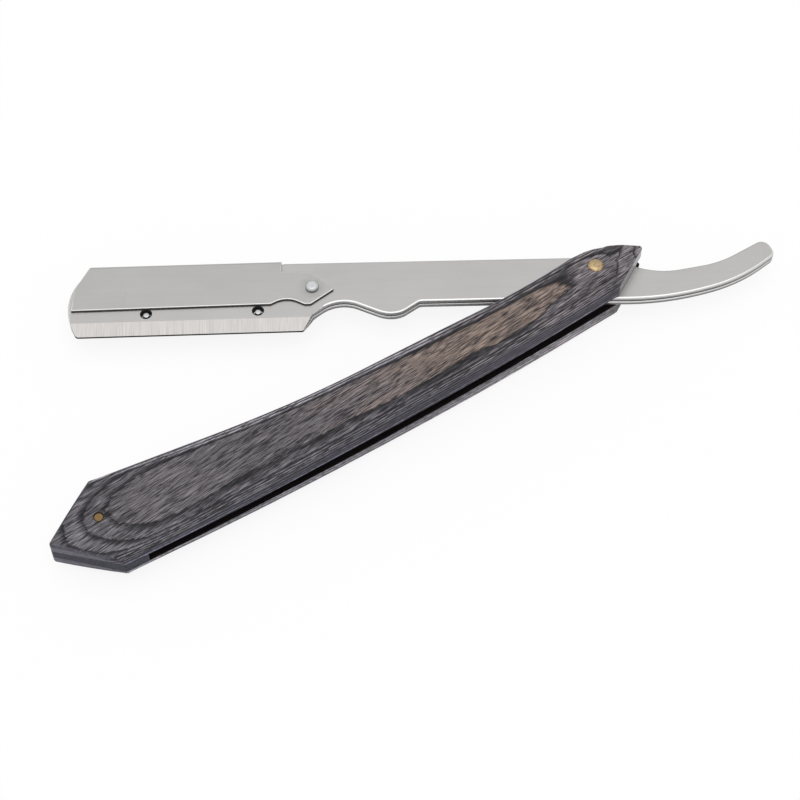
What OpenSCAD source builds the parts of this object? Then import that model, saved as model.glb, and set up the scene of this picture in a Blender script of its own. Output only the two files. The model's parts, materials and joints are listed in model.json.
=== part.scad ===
// Folding barber razor with a replaceable blade, lying open on its side.
// The arm lies along X with its jaws towards -X, and both pins stand along Z.
// Outlines are drawn round the pivot; place() then moves the origin to the bottom centre.

/* [Handle] */
// From the pivot to the point at the far end
handle_reach = 126; // [120:0.5:134]
// From the pivot to the point at the near end
handle_nose = 11.9; // [10:0.1:14]
// Width across the far shoulders
far_w = 19.95; // [18:0.05:22]
// Distance of the middle of the far shoulders below the pivot's line
far_drop = 1; // [0.5:0.1:1.5]
// Length of the far point behind the upper shoulder
upper_point = 13; // [11:0.1:15]
// Length of the far point behind the lower shoulder
lower_point = 11.1; // [10:0.1:13]
// Upper near corner beyond the pivot
near_corner = 2; // [1:0.1:3]
// Upper near corner above the pivot's line
near_up = 5.5; // [5:0.1:6]
// Lower near corner beyond the pivot
near_low_corner = 1.4; // [0.8:0.1:2.4]
// Lower near corner below the pivot's line
near_low = 7; // [6.6:0.1:7.6]
// Swell of the lower edge beyond a straight line
belly = 1.3; // [0.8:0.1:1.8]
// From the pivot to the waist in the upper edge
waist_x = 71.6; // [66:0.2:78]
// Height of the waist above the pivot's line
waist_y = 2.95; // [2.6:0.05:3.6]
// Radius of the hollow at the waist
waist_r = 230; // [150:5:260]

/* [Scales] */
// Thickness of a scale where it is fullest
scale_t = 3.6; // [3.3:0.05:4]
// From the pivot to the fullest place
crown_x = 20; // [10:1:30]
// Distance of the ridge of the crown below the pivot
crown_drop = 3.5; // [2.5:0.1:4]
// Angle of the ridge to the pivot's line
ridge_turn = 1.25; // [0.8:0.05:1.6]
// Radius of the crown along the handle
crown_long_r = 3400; // [3000:50:5000]
// Radius of the crown across the handle
crown_cross_r = 42; // [38:1:70]
// Radius of the crown's fall towards the near end
nose_r = 110; // [90:1:160]
// Gap between the scales at the pivot
pivot_gap = 2.8; // [2.7:0.05:3.2]
// Gap between the scales at the wedge pin
wedge_gap = 2.3; // [2.25:0.05:2.6]
// Angle between the handle and the arm as it lies open
open_angle = 29.6; // [20:0.1:60]
// Angle left between the handle's line and the closed arm
closed_angle = 3; // [2.8:0.1:4.5]

/* [Arm] */
// Thickness of one leaf
leaf_t = 1.15; // [1:0.01:1.17]
// Seam between the two leaves, which takes the blade
leaf_seam = 0.1; // [0.06:0.01:0.12]
// Spine above the pivot
spine_y = 5.1; // [5:0.1:5.6]
// Lower edge of the shank below the pivot
shank_low = 5.5; // [5:0.1:6]
// From the handle's far point back to the corner that is rounded off at the jaws' toe
toe_back = 14.35; // [14:0.05:17]
// Distance of that corner below the pivot's line
toe_drop = 2.6; // [2:0.1:3.2]
// Radius of the jaws' toe
toe_r = 12; // [10:0.1:13]
// From that corner back to the toe's upper corner
toe_up_back = 6.7; // [6:0.05:7.2]
// From that corner back to the toe's lower corner
toe_low_back = 4; // [3.4:0.05:4.6]
// Length of the jaws, from that corner to the heel
jaw_l = 50.85; // [49:0.05:54]
// Edge of the jaws below the pivot's line, at the heel
jaw_drop = 11.75; // [11:0.05:12]
// Slope of the jaws' edge against the shank
jaw_tilt = 0.6; // [0.2:0.1:1]
// Height of the ground bevel
bevel_h = 2.85; // [2.6:0.05:3.4]
// Thickness of one jaw at its edge
edge_t = 0.2; // [0.1:0.05:0.5]
// From the jaws' heel to the crest of the finger notch
notch_back = 7.9; // [7:0.1:9]
// Corner of the finger notch below the pivot's line
notch_y = 4.1; // [3.6:0.1:4.6]
// Radius of the finger notch
notch_r = 7; // [5:0.1:7.5]
// From the jaws' heel to the lobe behind the notch
lobe_back = 18.2; // [17:0.1:20]
// Corner of the lobe below the pivot's line
lobe_y = 9.45; // [8.6:0.05:10]
// Radius of the lobe
lobe_r = 6; // [4:0.1:6.5]

/* [Tail] */
// From the pivot to the low corner of the tail's tip
tail_reach = 38.8; // [36:0.2:44]
// Low corner of the tail's tip above the pivot's line
tail_lift = 4.9; // [3.5:0.1:6]
// Breadth of the tail's tip
tail_tip_w = 4.7; // [4.2:0.1:5.2]
// Under side of the tang below the pivot's line
tang_low = 6.15; // [5.7:0.05:6.6]
// Top of the neck above the pivot's line, at its corner
neck_y = 0.7; // [0.2:0.1:1.4]

/* [Clip] */
// Sheet thickness of the clip
clip_t = 0.5; // [0.4:0.02:0.56]
// Play between the clip and the leaves
clip_play = 0.05; // [0.03:0.01:0.08]
// Radius of the clip's outer fold
fold_r = 0.9; // [0.5:0.05:1.1]
// From the jaws' heel to the heel end of the fold
fold_start = 4.6; // [3.6:0.1:6]
// Slope of the fold against the spine
fold_tilt = 0.6; // [0.3:0.1:0.9]
// Step down in the spine under the fold
seat_drop = 0.2; // [0.15:0.05:0.4]
// Slope of the clip's lower edge against the spine
clip_tilt = 1.05; // [0.7:0.05:1.2]
// From the corner at the jaws' toe in to the bend in the clip's toe end
clip_end_in = 3.2; // [3:0.05:3.8]
// From the jaws' heel back to the rivet
rivet_back = 1.8; // [1:0.1:2.2]
// Rivet below the pivot's line
rivet_drop = 1.7; // [1.2:0.1:2.2]
// Reach of the clip's pointed ear past the rivet
ear_reach = 4.7; // [4.2:0.1:5]
// Depth of the ear below the rivet
ear_low = 4.25; // [3.6:0.05:4.5]
// Height of the ear above the rivet
ear_up = 3.95; // [3:0.05:4.2]

/* [Pins] */
// Radius of the pivot pin
pivot_r = 1.2; // [1:0.05:1.4]
// Radius of the pivot pin's peened heads
pivot_head_r = 1.62; // [1.5:0.01:2]
// Height of a peened head above the scale
pivot_head_h = 0.55; // [0.4:0.05:0.7]
// Depth of the flat seat under a peened head
pivot_seat = 0.12; // [0.1:0.01:0.2]
// Outer radius of the pivot washers
washer_r = 3.2; // [2.6:0.1:3.8]
// Radius of the wedge pin
wedge_pin_r = 0.9; // [0.7:0.05:1.1]
// From the handle's far point to the wedge pin
wedge_pin_back = 11.1; // [9.5:0.1:12]
// Depth of the wedge pin's ends below the wood
wedge_pin_sink = 0.12; // [0.05:0.01:0.2]
// Radius of the clip rivet's shank
rivet_r = 0.8; // [0.6:0.05:0.95]
// Radius of the clip rivet's heads
rivet_head_r = 1.4; // [1.2:0.05:1.5]
// Height of the clip rivet's heads
rivet_head_h = 0.8; // [0.6:0.05:0.9]
// Radius of a blade pin
blade_pin_r = 0.65; // [0.5:0.05:0.75]
// Radius of the front leaf's holes round the blade pins
blade_hole_r = 1.27; // [1.1:0.01:1.35]
// From the jaws' heel to the blade pin near it
blade_pin_in = 9.4; // [8.5:0.1:11]
// Distance between the blade pins
blade_pin_pitch = 23.1; // [21:0.1:24]
// Blade pins above the jaws' edge
blade_pin_up = 4.75; // [4.7:0.05:5]

/* [Fits] */
// Radial play of a part that turns on a pin
run_play = 0.05; // [0.03:0.01:0.08]
// Play on each face of a washer
washer_play = 0.02; // [0.01:0.005:0.03]
// Room between moving steel and the cut wood
wood_room = 0.15; // [0.1:0.01:0.18]
// Room round the jaws, ear and rivet in the plane of the arm
side_room = 0.8; // [0.5:0.05:0.9]
// Wood left standing below the closed jaws' edge
lip_room = 0.45; // [0.3:0.05:0.6]

/* [Hidden] */

// Farthest that a drawn arc strays from its circle
arc_error = 0.01;
// How far a cutting shape runs past what it cuts
over = 1;
// A length and a height greater than any piece of the razor
far = handle_reach * 1.6;
tall = scale_t * 5.5;

wood = [0.30, 0.30, 0.33];
wedge_wood = [0.22, 0.23, 0.27];
steel = [0.72, 0.71, 0.69];
clip_steel = [0.76, 0.75, 0.73];
brass = [0.72, 0.58, 0.32];

function steps(r) = max(48, ceil(180 / acos(1 - arc_error / r)));
function unit(v) = v / norm(v);
function xy(p) = [p.x, p.y];
function turn(p, a) = [p.x * cos(a) - p.y * sin(a), p.x * sin(a) + p.y * cos(a)];
function crossing(u, v) = u.x * v.y - u.y * v.x;
function sum(list, i = 0) = i < len(list) ? list[i] + sum(list, i + 1) : 0;
function after(pts, i) = pts[(i + 1) % len(pts)];
function before(pts, i) = pts[(i + len(pts) - 1) % len(pts)];
function winding(pts) = sign(sum([for (i = [0:len(pts) - 1]) crossing(pts[i], after(pts, i))]));

// The round at corner i of an outline: directions to its neighbours, tangent length and centre
function to_before(pts, i) = unit(xy(before(pts, i)) - xy(pts[i]));
function to_after(pts, i) = unit(xy(after(pts, i)) - xy(pts[i]));
function half_corner(pts, i) = acos(to_before(pts, i) * to_after(pts, i)) / 2;
function inward(pts, i) = unit(to_before(pts, i) + to_after(pts, i));
function tangent(pts, i) = pts[i][2] / tan(half_corner(pts, i));
function round_centre(pts, i) =
  xy(pts[i]) + inward(pts, i) * (pts[i][2] - lap(pts[i][2])) / sin(half_corner(pts, i));
// A round laps a little over the lines it joins, so that it is sure to meet them
function lap(r) = 0.003 + r * 0.00003;
function is_convex(pts, i) =
  crossing(xy(pts[i]) - xy(before(pts, i)), xy(after(pts, i)) - xy(pts[i])) * winding(pts) > 0;

function tangent_before(pts, i) = xy(pts[i]) + to_before(pts, i) * tangent(pts, i);
function tangent_after(pts, i) = xy(pts[i]) + to_after(pts, i) * tangent(pts, i);
function corner_points(pts, i) =
  pts[i][2] > 0 && !is_convex(pts, i) ? [tangent_before(pts, i), tangent_after(pts, i)] : [xy(pts[i])];

// Points on a rounded outline, close enough together to measure how far it reaches
reach_points = 40;
function round_points(pts, i) =
  let (
    c = round_centre(pts, i),
    a = tangent_before(pts, i) - c,
    b = tangent_after(pts, i) - c
  )
  [for (k = [0:reach_points])
    let (mix = a * (reach_points - k) + b * k)
    pts[i][2] > 0 ? c + unit(mix) * pts[i][2] : xy(pts[i])];
function outline_reach(pts) = [for (i = [0:len(pts) - 1]) each round_points(pts, i)];

// Places along the arm, from the pivot
toe_x = handle_reach - toe_back;
toe_up_x = toe_x - toe_up_back;
toe_low_x = toe_x - toe_low_back;
jaw_heel = toe_x - jaw_l;
notch_x = jaw_heel - notch_back;
lobe_x = jaw_heel - lobe_back;
fold_heel = jaw_heel + fold_start;
rivet_x = jaw_heel - rivet_back;
blade_pin_x = jaw_heel + blade_pin_in;
wedge_pin_x = handle_reach - wedge_pin_back;

// Heights, from the plane between the two leaves
leaf_in = leaf_seam / 2;
leaf_out = leaf_in + leaf_t;
clip_in = leaf_out + clip_play;
clip_out = clip_in + clip_t;
rivet_seat = clip_out + run_play;
rivet_top = rivet_seat + rivet_head_h;
clip_room_z = clip_out + wood_room;
rivet_room_z = rivet_top + wood_room;

// Lean of a scale's flat inner face towards the wedge
scale_lean = atan((pivot_gap - wedge_gap) / 2 / wedge_pin_x);
function inner_face(x) = pivot_gap / 2 + x * tan(scale_lean);
// Number of straight runs that make up the long arc of the crown, each rounder than the one before
crown_rollers = 3;
roller_less = 2;
// Where the fall towards the near end starts, and how far it starts above the crown
nose_x = -2;
nose_lap = 0.05;
function long_arc(x) = scale_t - crown_long_r + sqrt(pow(crown_long_r, 2) - pow(x + crown_x, 2));
function ridge_y(x) = -crown_drop - x * tan(ridge_turn);
function cross_fall(x, y) = crown_cross_r - sqrt(pow(crown_cross_r, 2) - pow(y - ridge_y(x), 2));
function outer_face(x, y) = inner_face(x) + long_arc(x) - cross_fall(x, y);

// Jaws' edge: a line that leans from the heel down to the toe
function edge_y(x) = -jaw_drop + (x + jaw_heel) * tan(jaw_tilt);
// Seat of the fold: a step in the spine that leans the same way
function seat_y(x) = spine_y - seat_drop + (x + fold_heel) * tan(fold_tilt);
rivet = [-rivet_x, -rivet_drop];
toe = [-toe_x, -toe_drop];
toe_up = [-toe_up_x, seat_y(-toe_up_x)];
toe_low = [-toe_low_x, edge_y(-toe_low_x)];

// Small rounds of the outlines
nose_round = 0.6;
corner_round = 17;
low_corner_round = 2.5;
point_round = 0.8;
heel_round = 0.6;
toe_up_round = 0.3;
toe_low_round = 1;
heel_fillet = 1.5;
lobe_fillet = 1.5;
tail_tip_round = 1.9;
ear_tip_round = 0.4;
ear_low_round = 0.8;
ear_up_round = 3;
fold_notch_round = 0.5;
clip_end_round = 5;
// Share of the longest possible arc that the belly takes between its corners
belly_share = 0.88;
// Where the upper edge starts to fall to the waist, above its lowest line
shoulder = [-16, 0.2, 150];

far_up = far_w / 2 - far_drop;
far_low = far_w / 2 + far_drop;
point_y = -far_drop / 2;
low_near = [near_low_corner, -near_low];
low_far = [-handle_reach + lower_point, -far_low];
low_run = low_far - low_near;
belly_corner = (low_near + low_far) / 2 + unit([-low_run.y, low_run.x]) * 2 * belly;
belly_r = belly_share * pow(norm(low_run) / 2, 2) / (2 * belly);
handle_outline = [
  [handle_nose, point_y, nose_round],
  [low_near.x, low_near.y, low_corner_round],
  [belly_corner.x, belly_corner.y, belly_r],
  [low_far.x, low_far.y, point_round],
  [-handle_reach, point_y, point_round],
  [-handle_reach + upper_point, far_up, point_round],
  [-waist_x, waist_y, waist_r],
  [shoulder.x, waist_y + shoulder.y, shoulder[2]],
  [near_corner, near_up, corner_round]
];

// Slope that leads from the spine down to the seat of the fold, from the fold's heel
step_start = 0.5;
step_end = 0.1;
// Where the heel's riser meets the finger notch, from the heel
heel_riser = [1.3, 3.4];
// Where the lobe comes back to the shank
lobe_end = 6;
// Where the shank starts to widen towards the tang
tang_start = -12;
// Bends along the tail, as [x, height above the tang's under side or the neck, radius]
tail_under_1 = [14.4, 0, 57];
tail_under_2 = [30.2, 4.45, 34];
tail_over = [26.7, 2.4, 22];
neck = [14, 0, 16];
spine_end = [1.2, 6];
// Lean of the tail's tip, from its low corner to its top corner
tail_tip_lean = 112;
tail_low = [tail_reach, tail_lift];
tail_top = tail_low + tail_tip_w * [cos(tail_tip_lean), sin(tail_tip_lean)];
leaf_outline = [
  [toe_low.x, toe_low.y, toe_low_round],
  [-jaw_heel, -jaw_drop, heel_round],
  [-jaw_heel + heel_riser.x, -jaw_drop + heel_riser.y, heel_fillet],
  [-notch_x, -notch_y, notch_r],
  [-lobe_x, -lobe_y, lobe_r],
  [-lobe_x + lobe_end, -shank_low, lobe_fillet],
  [tang_start, -shank_low, 0],
  [tail_under_1.x, -tang_low + tail_under_1.y, tail_under_1[2]],
  [tail_under_2.x, -tang_low + tail_under_2.y, tail_under_2[2]],
  [tail_low.x, tail_low.y, tail_tip_round],
  [tail_top.x, tail_top.y, tail_tip_round],
  [tail_over.x, neck_y + tail_over.y, tail_over[2]],
  [neck.x, neck_y + neck.y, neck[2]],
  [spine_end.x, spine_y, spine_end.y],
  [-fold_heel + step_start, spine_y, 0],
  [-fold_heel + step_end, seat_y(-fold_heel + step_end), 0],
  [toe_up.x, toe_up.y, toe_up_round],
  [toe.x, toe.y, toe_r]
];

// Clip's lower edge: corners from the rivet, as [x, y, radius]
clip_bend = [-8.6, 0.2, 1];
clip_hump = [-5.3, 2, 4.7];
ear_heel = [-1.6, 0];
ear_toe = [-0.3, 0];
ear_tip_y = -0.4;
ear_crest_x = -0.5;
fold_in = spine_y - seat_drop + clip_play;
fold_out = fold_in + clip_t;
clip_low = rivet.y - ear_low;
beyond_toe = toe.x - over;
// Bend in the clip's toe end, and how far the end leans from upright above and below it
clip_end = toe + [clip_end_in, 1.5];
clip_end_up_lean = 26.8;
clip_end_low_lean = 3.6;
clip_outline = [
  [beyond_toe, clip_low + clip_bend.y + (beyond_toe - rivet.x - clip_bend.x) * tan(clip_tilt), 0],
  [rivet.x + clip_bend.x, clip_low + clip_bend.y, clip_bend[2]],
  [rivet.x + clip_hump.x, clip_low + clip_hump.y, clip_hump[2]],
  [rivet.x + ear_heel.x, clip_low + ear_heel.y, ear_low_round],
  [rivet.x + ear_toe.x, clip_low + ear_toe.y, ear_low_round],
  [rivet.x + ear_reach, rivet.y + ear_tip_y, ear_tip_round],
  [rivet.x + ear_crest_x, rivet.y + ear_up, ear_up_round],
  [-fold_heel, rivet.y + ear_up, fold_notch_round],
  [-fold_heel, fold_out + over, 0],
  [beyond_toe, fold_out + over, 0]
];

// Room cut in the scales for the closed arm, as rings round the pivot
function closed(p) = turn(p, -closed_angle);
jaw_reach = max([for (p = outline_reach(leaf_outline)) norm(p)]);
room_out = jaw_reach + side_room;
room_in = norm(rivet) - max(ear_reach, ear_low) - side_room;
rivet_room_r = rivet_head_r + side_room / 2;
lip_heel = closed([-room_in, edge_y(-room_in)]) - [0, lip_room];
lip_toe = closed([-room_out - over, edge_y(-room_out - over)]) - [0, lip_room];
rivet_low = closed(rivet).y - rivet_room_r;

// Peened head and pin ends
pivot_seat_z = outer_face(0, 0) - pivot_seat;
pivot_top = pivot_seat_z + pivot_seat + pivot_head_h;
wedge_pin_top = outer_face(-wedge_pin_x, 0) - wedge_pin_sink;
sink_r = wedge_pin_r + 0.15;
sink_depth = 0.4;

// How far the whole razor reaches, and its origin at the bottom centre
handle_points = [for (p = outline_reach(handle_outline)) turn(p, open_angle)];
reach = concat(outline_reach(leaf_outline), handle_points);
reach_x = [for (p = reach) p.x];
reach_y = [for (p = reach) p.y];
origin = [(min(reach_x) + max(reach_x)) / 2, (min(reach_y) + max(reach_y)) / 2, -pivot_top];

// Outline with its corners rounded. An inner corner is first cut across, then hollowed.
module rounded(pts) {
  difference() {
    polygon([for (i = [0:len(pts) - 1]) each corner_points(pts, i)]);
    for (i = [0:len(pts) - 1])
      if (pts[i][2] > 0) corner_waste(pts, i);
  }
}

// What lies between the cut outline and the round at one corner
module corner_waste(pts, i) {
  start = tangent_before(pts, i);
  end = tangent_after(pts, i);
  out = inward(pts, i) * over;
  deep = inward(pts, i) * (tangent(pts, i) + over);
  spare = 2 * sqrt(2 * pts[i][2] * lap(pts[i][2]));
  wide_start = start + to_before(pts, i) * spare;
  wide_end = end + to_after(pts, i) * spare;
  if (is_convex(pts, i))
    difference() {
      polygon([start, xy(pts[i]) - out, end]);
      corner_disc(pts, i);
    }
  else
    intersection() {
      polygon([wide_start + out, wide_start - deep, wide_end - deep, wide_end + out]);
      corner_disc(pts, i);
    }
}

module corner_disc(pts, i) {
  translate(round_centre(pts, i)) circle(pts[i][2], $fn = steps(pts[i][2]));
}

module place() {
  translate(-origin) children();
}

module handle_place() {
  place() rotate([0, 0, open_angle]) children();
}

module rod(r, low, high) {
  translate([0, 0, low]) cylinder(r = r, h = high - low, $fn = steps(r));
}

// Everything on the pivot's side of the clip's toe
module toe_end() {
  top = clip_end + tall * [tan(clip_end_up_lean), 1];
  bottom = clip_end - tall * [tan(clip_end_low_lean), 1];
  rounded([
    [bottom.x, bottom.y, 0],
    [0, bottom.y, 0],
    [0, top.y, 0],
    [top.x, top.y, 0],
    [clip_end.x, clip_end.y, clip_end_round]
  ]);
}

// Barrel-shaped block whose top is the crown of a scale: rollers laid along the long arc
module crown() {
  run = (handle_reach + handle_nose) / crown_rollers;
  intersection_for (k = [0:crown_rollers - 1])
    roller(-handle_reach + (k + 0.5) * run, crown_cross_r - k * roller_less);
}

// Roller that touches the long arc at x
module roller(x, r) {
  translate([x, 0, long_arc(x)])
    rotate([0, asin((x + crown_x) / crown_long_r), 0])
      translate([0, 0, -r])
        rotate([0, 90, 0])
          cylinder(r = r, h = 2 * far, center = true, $fn = steps(r));
}

// What the fall towards the near end takes off the crown
module nose_waste() {
  difference() {
    translate([nose_x, -tall, 0]) cube([tall, 2 * tall, tall]);
    translate([nose_x, 0, long_arc(nose_x) + nose_lap - nose_r])
      rotate([90, 0, 0])
        cylinder(r = nose_r, h = far, center = true, $fn = steps(nose_r));
  }
}

module scale_blank() {
  translate([0, 0, pivot_gap / 2])
    rotate([0, -scale_lean, 0])
      difference() {
        intersection() {
          linear_extrude(tall / 2) rounded(handle_outline);
          translate([0, -crown_drop, 0]) rotate([0, 0, -ridge_turn]) crown();
        }
        nose_waste();
      }
}

// Ring-shaped room in the wood, open at the upper edge
module wood_ring(r_in, r_out, low_heel, low_toe, z) {
  linear_extrude(2 * z, center = true)
    intersection() {
      difference() {
        circle(r_out, $fn = steps(r_out));
        circle(r_in, $fn = steps(r_in));
      }
      polygon([low_heel, low_toe, [low_toe.x, far], [low_heel.x, far]]);
    }
}

module handle_scale() {
  difference() {
    scale_blank();
    rod(pivot_r, 0, tall);
    rod(pivot_head_r, pivot_seat_z, tall);
    translate([-wedge_pin_x, 0]) rod(wedge_pin_r, 0, tall);
    translate([-wedge_pin_x, 0]) rod(sink_r, wedge_pin_top - sink_depth, tall);
    wood_ring(room_in, room_out, [0, lip_heel.y], lip_toe, clip_room_z);
    wood_ring(norm(rivet) - rivet_room_r, norm(rivet) + rivet_room_r, [0, rivet_low],
      [-far, rivet_low], rivet_room_z);
  }
}

module front_scale() {
  color(wood) handle_place() handle_scale();
}

module back_scale() {
  color(wood) handle_place() mirror([0, 0, 1]) handle_scale();
}

// Tapered spacer, flush with the scales all round and hollowed to clear the jaws
module wedge_spacer() {
  color(wedge_wood)
    handle_place()
      difference() {
        intersection() {
          linear_extrude(tall, center = true) rounded(handle_outline);
          rotate([90, 0, 0])
            linear_extrude(far, center = true)
              polygon([
                [-far, inner_face(-far)], [-far, -inner_face(-far)],
                [-toe_x / 2, -inner_face(-toe_x / 2)], [-toe_x / 2, inner_face(-toe_x / 2)]
              ]);
        }
        rod(room_out, -tall, tall);
        translate([-wedge_pin_x, 0]) rod(wedge_pin_r, -tall, tall);
      }
}

module wedge_pin() {
  color(brass)
    handle_place()
      translate([-wedge_pin_x, 0]) rod(wedge_pin_r, -wedge_pin_top, wedge_pin_top);
}

// Peened head: a low dome on a short straight rim
module peened_head() {
  rim = pivot_seat + pivot_head_h / 4;
  dome = pivot_seat + pivot_head_h - rim;
  dome_r = (pow(pivot_head_r, 2) + pow(dome, 2)) / (2 * dome);
  rod(pivot_head_r, 0, rim);
  intersection() {
    translate([0, 0, rim + dome - dome_r]) sphere(dome_r, $fn = steps(dome_r));
    rod(pivot_head_r, rim, rim + dome + over);
  }
}

module pivot_pin() {
  color(brass)
    handle_place() {
      rod(pivot_r, -pivot_seat_z, pivot_seat_z);
      for (side = [0, 1])
        mirror([0, 0, side]) translate([0, 0, pivot_seat_z]) peened_head();
    }
}

module washer() {
  difference() {
    rod(washer_r, leaf_out + washer_play, inner_face(-washer_r) - washer_play);
    rod(pivot_r + run_play, 0, tall);
  }
}

module front_washer() {
  color(brass) handle_place() washer();
}

module back_washer() {
  color(brass) handle_place() mirror([0, 0, 1]) washer();
}

function blade_pin(k) =
  let (x = -blade_pin_x - k * blade_pin_pitch)
  [x, edge_y(x) + blade_pin_up];

// One leaf, with the wedge of steel that is ground off its jaw
module leaf() {
  difference() {
    translate([0, 0, leaf_in])
      linear_extrude(leaf_t) rounded(leaf_outline);
    translate([-jaw_heel, -jaw_drop])
      rotate([90, 0, 90 + jaw_tilt])
        translate([0, 0, -far])
          linear_extrude(far + heel_riser.x)
            bevel_waste();
    rod(pivot_r + run_play, 0, tall);
    translate(rivet) rod(rivet_r, 0, tall);
  }
}

module bevel_waste() {
  rise = leaf_t - edge_t;
  slope = rise / bevel_h;
  polygon([
    [-over, leaf_in + edge_t - over * slope],
    [bevel_h + over, leaf_out + over * slope],
    [-over, leaf_out + over * slope]
  ]);
}

module front_leaf() {
  color(steel)
    place()
      difference() {
        leaf();
        for (k = [0, 1])
          translate(blade_pin(k)) rod(blade_hole_r, 0, tall);
      }
}

module back_leaf() {
  color(steel)
    place()
      difference() {
        mirror([0, 0, 1]) leaf();
        for (k = [0, 1])
          translate(blade_pin(k)) rod(blade_pin_r, -tall, 0);
      }
}

// Cross-section of the clip: a channel folded over the spine
module clip_section() {
  difference() {
    union() {
      translate([-tall, -clip_out]) square([tall + fold_out - fold_r, 2 * clip_out]);
      translate([0, fold_r - clip_out]) square([fold_out, 2 * (clip_out - fold_r)]);
      for (side = [-1, 1])
        translate([fold_out - fold_r, side * (clip_out - fold_r)]) circle(fold_r, $fn = steps(fold_r));
    }
    translate([-tall - over, -clip_in]) square([tall + over + fold_in, 2 * clip_in]);
  }
}

module swing_clip() {
  color(clip_steel)
    place()
      difference() {
        intersection() {
          linear_extrude(tall, center = true)
            intersection() {
              rounded(clip_outline);
              toe_end();
            }
          translate([-fold_heel, 0])
            rotate([90, 0, 90 + fold_tilt])
              linear_extrude(2 * far, center = true)
                clip_section();
        }
        translate(rivet) rod(rivet_r + run_play, -tall, tall);
      }
}

module clip_rivet() {
  rim = rivet_head_h / 2;
  color(steel)
    place()
      translate(rivet) {
        rod(rivet_r, -rivet_seat, rivet_seat);
        for (side = [0, 1])
          mirror([0, 0, side]) translate([0, 0, rivet_seat]) {
            rod(rivet_head_r, 0, rim);
            translate([0, 0, rim])
              cylinder(r1 = rivet_head_r, r2 = rivet_head_r - rim, h = rim, $fn = steps(rivet_head_r));
          }
      }
}

// Locating pin, fixed in the back leaf and ending below the front leaf's face
module locating_pin(k) {
  chamfer = blade_pin_r / 4;
  top = leaf_out - leaf_t / 4;
  color(clip_steel)
    place()
      translate(blade_pin(k)) {
        rod(blade_pin_r, -leaf_out, top - chamfer);
        translate([0, 0, top - chamfer])
          cylinder(r1 = blade_pin_r, r2 = blade_pin_r - chamfer, h = chamfer, $fn = steps(blade_pin_r));
      }
}

module blade_pin_toe() {
  locating_pin(1);
}

module blade_pin_heel() {
  locating_pin(0);
}

front_scale();
back_scale();
wedge_spacer();
wedge_pin();
pivot_pin();
front_washer();
back_washer();
front_leaf();
back_leaf();
swing_clip();
clip_rivet();
blade_pin_toe();
blade_pin_heel();
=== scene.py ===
"""A folding barber razor with laminated wood scales, satin steel jaws and brass pins.

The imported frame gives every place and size. Each operator makes one piece, or a group of like pieces,
and the stage operator adds the floor, the light and the camera. Lengths are in metres; the patterns of
the materials are worked out in millimetres.
"""

import json
import math

import bpy
from mathutils import Euler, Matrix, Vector

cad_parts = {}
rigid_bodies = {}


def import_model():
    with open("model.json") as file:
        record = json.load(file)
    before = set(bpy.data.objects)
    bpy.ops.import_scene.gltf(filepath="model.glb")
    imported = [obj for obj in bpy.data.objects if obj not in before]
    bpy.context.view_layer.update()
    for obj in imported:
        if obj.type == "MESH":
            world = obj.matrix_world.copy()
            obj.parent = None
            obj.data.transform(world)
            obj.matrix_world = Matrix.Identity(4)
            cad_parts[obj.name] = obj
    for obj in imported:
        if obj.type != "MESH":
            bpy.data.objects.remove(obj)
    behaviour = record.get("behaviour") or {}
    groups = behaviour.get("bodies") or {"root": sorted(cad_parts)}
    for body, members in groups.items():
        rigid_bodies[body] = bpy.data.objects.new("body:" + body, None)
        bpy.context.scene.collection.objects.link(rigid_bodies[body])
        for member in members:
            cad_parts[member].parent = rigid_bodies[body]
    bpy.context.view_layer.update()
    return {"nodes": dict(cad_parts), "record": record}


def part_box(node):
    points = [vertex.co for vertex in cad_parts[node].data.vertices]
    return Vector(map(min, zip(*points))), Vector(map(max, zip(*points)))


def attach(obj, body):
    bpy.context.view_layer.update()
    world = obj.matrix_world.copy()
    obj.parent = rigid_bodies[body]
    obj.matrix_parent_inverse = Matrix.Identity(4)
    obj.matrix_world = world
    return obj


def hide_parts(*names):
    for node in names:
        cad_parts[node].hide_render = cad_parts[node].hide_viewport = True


bpy.ops.object.select_all(action="SELECT")
bpy.ops.object.delete()
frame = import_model()

bl_info = {
    "name": "Folding Barber Razor",
    "version": (1, 0, 0),
    "blender": (4, 5, 0),
    "location": "View3D > Sidebar > Razor",
    "description": "Dresses a folding barber razor in laminated wood, satin steel and brass",
    "category": "Object",
}

MM = 0.001
SHARP_EDGE = math.radians(32)
# Points closer than this are one, in a copy or in a turned piece, and so are faces at less than this angle
ONE_POINT = 0.012 * MM
ONE_TURNED = 0.001 * MM
ONE_FLAT = math.radians(0.2)
# Points this close to the lowest or highest one lie on the same flat
ONE_LEVEL = 0.01 * MM
# Faces larger than this are shaded flat
LARGE_FACE = 30 * MM**2
BODY_OF = {n: body for body, names in frame["record"]["behaviour"]["bodies"].items() for n in names}


def middle(node):
    """Middle of a CAD node's box."""
    low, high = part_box(node)
    return (low + high) / 2


# The pivot is the origin of every pattern, and the wedge pin gives the way the handle points
PIVOT = middle("pivot_pin")
HANDLE_RUN = PIVOT - middle("wedge_pin")
HANDLE_TURN = math.atan2(HANDLE_RUN.y, HANDLE_RUN.x)
MID_Z = PIVOT.z
PIN_AXES = {node: middle(node).xy for node in frame["nodes"] if "pin" in node or node == "clip_rivet"}
# The ground jaws lie below this line
JAW_TOP = PIN_AXES["blade_pin_heel"].y - 1.6 * MM


def screen(*shares):
    """A colour as it looks on a screen, turned into the linear one that a shader takes."""
    return tuple(c / 12.92 if c <= 0.04045 else ((c + 0.055) / 1.055) ** 2.4 for c in shares)


def number(name, description, default, **more):
    return bpy.props.FloatProperty(name=name, description=description, default=default, **more)


def length(name, description, default):
    return number(name, description, default, min=0, precision=5, subtype="DISTANCE", unit="LENGTH")


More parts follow.
